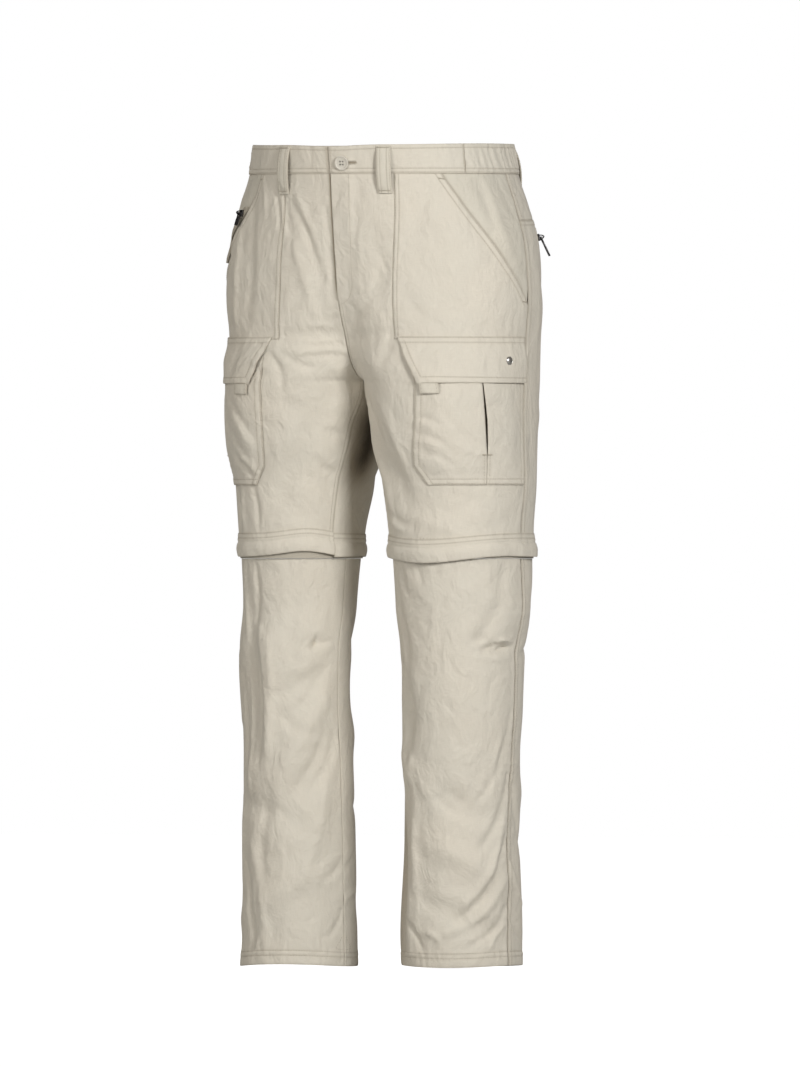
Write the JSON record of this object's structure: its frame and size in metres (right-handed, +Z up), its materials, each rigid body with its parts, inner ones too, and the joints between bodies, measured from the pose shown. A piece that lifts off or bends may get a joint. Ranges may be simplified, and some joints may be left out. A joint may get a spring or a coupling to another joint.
{
  "type": "convertible zip-off trousers",
  "caption": "Hollow zip-off trousers, filled out as worn, with hand, cargo and zipped back pockets, belt loops, and legs that zip off under a band at the knee.",
  "frame": {"origin": "middle of the waist opening, half way up the waistband, where the wearer's waist holds the trousers", "axes": "+Z up, the front faces -Y, +X is the wearer's left"},
  "size_m": [0.4192, 0.2816, 1.0289],
  "materials": {
    "cloth": "finely woven light stone cotton-nylon with a faint sheen",
    "trim": "folded strips of the same cloth",
    "zip": "woven zip tape with a moulded coil",
    "metal": "dark lacquered zip sliders and pulls, worn at the edges",
    "stud": "plain domed metal stud",
    "button": "four-hole button, pale grey-beige with a rim"
  },
  "bodies": {
    "trousers": {"belt_loop_back": "trim", "belt_loop_front_left": "trim", "belt_loop_front_right": "trim", "belt_loop_side_left": "trim", "belt_loop_side_right": "trim", "flap_stud": "stud", "fly_shield": "cloth", "left_back": "cloth", "left_back_yoke": "cloth", "left_back_zip_slider": "metal", "left_back_zip_tape": "zip", "left_cargo_aft": "cloth", "left_cargo_flap": "cloth", "left_cargo_fore": "cloth", "left_cargo_tab": "trim", "left_front": "cloth", "left_front_side": "cloth", "left_hip_facing": "cloth", "left_knee_band": "cloth", "left_knee_zip": "zip", "left_lower_back": "cloth", "left_lower_front": "cloth", "right_back": "cloth", "right_back_yoke": "cloth", "right_back_zip_slider": "metal", "right_back_zip_tape": "zip", "right_cargo_aft": "cloth", "right_cargo_flap": "cloth", "right_cargo_fore": "cloth", "right_cargo_tab": "trim", "right_front": "cloth", "right_front_side": "cloth", "right_hand_zip_slider": "metal", "right_hand_zip_tape": "zip", "right_hip_facing": "cloth", "right_knee_band": "cloth", "right_knee_zip": "zip", "right_lower_back": "cloth", "right_lower_front": "cloth", "waist_button": "button", "waistband_back": "cloth", "waistband_elastic_left": "cloth", "waistband_elastic_right": "cloth", "waistband_left": "cloth", "waistband_right": "cloth"},
    "left_back_pull": {"left_back_zip_pull": "metal"},
    "right_back_pull": {"right_back_zip_pull": "metal"},
    "right_hand_pull": {"right_hand_zip_pull": "metal"}
  },
  "joints": [
    {"name": "left_back_pull_swing", "type": "hinge", "parent": "trousers", "child": "left_back_pull", "pos_m": [0.1777, 0.08447, -0.09555], "axis": [0.6497, -0.7584, 0.0526], "range_deg": [-5, 150]},
    {"name": "right_back_pull_swing", "type": "hinge", "parent": "trousers", "child": "right_back_pull", "pos_m": [-0.1777, 0.08447, -0.09555], "axis": [0.6497, 0.7584, -0.0526], "range_deg": [-5, 150]},
    {"name": "right_hand_pull_swing", "type": "hinge", "parent": "trousers", "child": "right_hand_pull", "pos_m": [-0.15541, -0.09308, -0.06518], "axis": [-0.8345, 0.5461, 0.0737], "range_deg": [-5, 150]}
  ]
}
